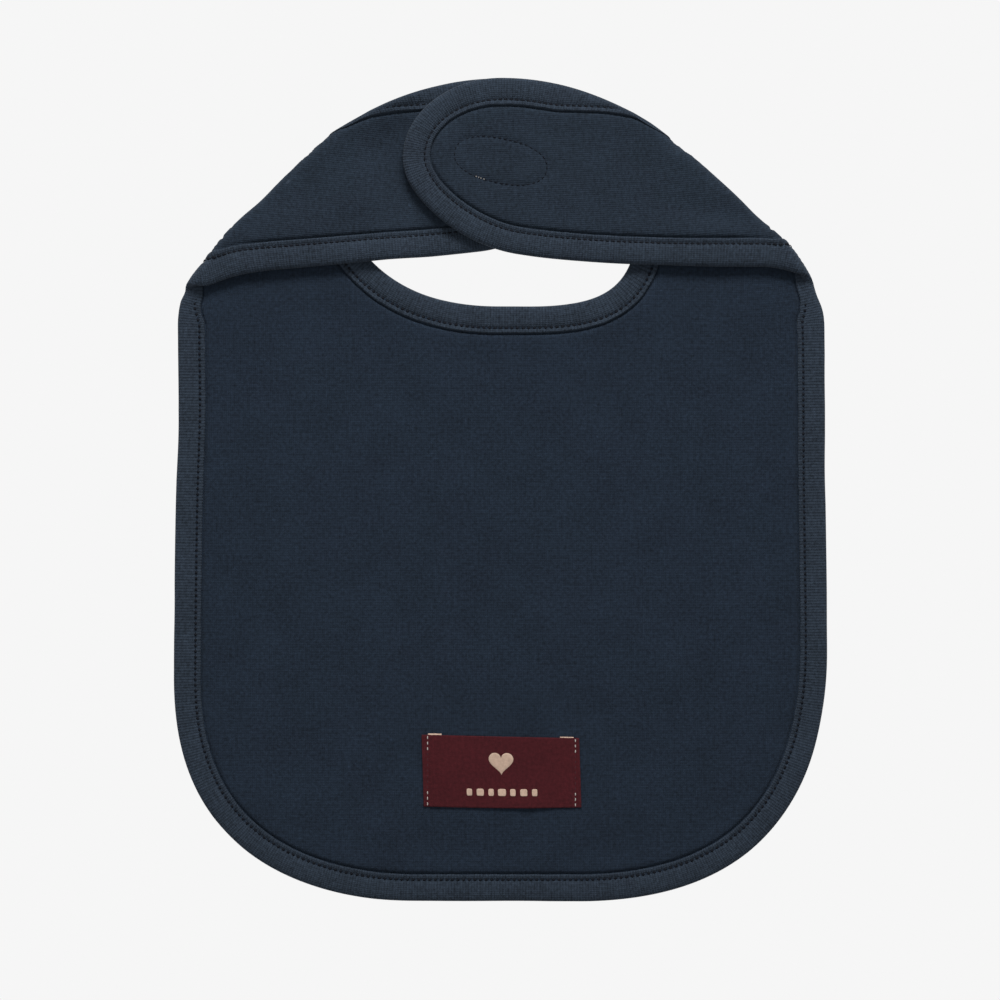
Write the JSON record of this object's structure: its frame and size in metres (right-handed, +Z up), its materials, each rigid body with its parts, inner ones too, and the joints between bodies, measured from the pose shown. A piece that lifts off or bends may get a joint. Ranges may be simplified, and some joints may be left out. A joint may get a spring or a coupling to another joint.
{
  "type": "baby bib",
  "caption": "Padded fabric baby bib with ribbed edge binding, two neck straps folded forward and fastened by hook and loop, and a sewn woven label.",
  "frame": {"origin": "middle of the bib's outline on the surface it lies on", "axes": "+X to the right across the bib, +Y up the bib towards the neck, +Z up from the surface; the front faces +Z and the straps are folded forward over it"},
  "size_m": [0.24, 0.304, 0.0071],
  "materials": {
    "navy_jersey": "fine cotton knit, matt",
    "ribbed_tape": "fine ribbed knit tape, matt",
    "wadding": "soft absorbent wadding",
    "navy_thread": "dark sewing thread",
    "label_ground": "burgundy woven satin",
    "label_figure": "beige woven figure",
    "label_thread": "sewing thread, flecked",
    "hook_tape": "stiff hook tape",
    "loop_tape": "soft loop tape"
  },
  "bodies": {
    "bib": {"front_panel": "navy_jersey", "absorbent_layer": "wadding", "back_panel": "navy_jersey", "edge_binding": "ribbed_tape", "neck_binding": "ribbed_tape", "edge_topstitch": "navy_thread", "neck_topstitch": "navy_thread", "label_ends": "label_figure", "label": "label_ground", "label_motif": "label_figure", "label_stitching": "label_thread"},
    "right_strap": {"right_strap_front": "navy_jersey", "right_strap_middle": "wadding", "right_strap_back": "navy_jersey", "right_strap_binding": "ribbed_tape", "right_strap_topstitch": "navy_thread", "hook_patch": "hook_tape", "hook_patch_stitching": "navy_thread", "right_fold": "navy_jersey"},
    "left_strap": {"left_strap_front": "navy_jersey", "left_strap_middle": "wadding", "left_strap_back": "navy_jersey", "left_strap_binding": "ribbed_tape", "left_strap_topstitch": "navy_thread", "loop_patch": "loop_tape", "loop_patch_stitching": "navy_thread", "left_fold": "navy_jersey"}
  },
  "joints": [
    {"name": "right_strap_open", "type": "hinge", "parent": "bib", "child": "right_strap", "pos_m": [0.112, 0.078, 0.00355], "axis": [-0.7213, 0.6926, 0], "range_deg": [0, 178]},
    {"name": "left_strap_open", "type": "hinge", "parent": "bib", "child": "left_strap", "pos_m": [-0.112, 0.078, 0.00355], "axis": [-0.7213, -0.6926, 0], "range_deg": [0, 39.16]}
  ],
  "couplings": [
    {"joint": "left_strap_open", "follows": "right_strap_open", "ratio": 0.22}
  ]
}
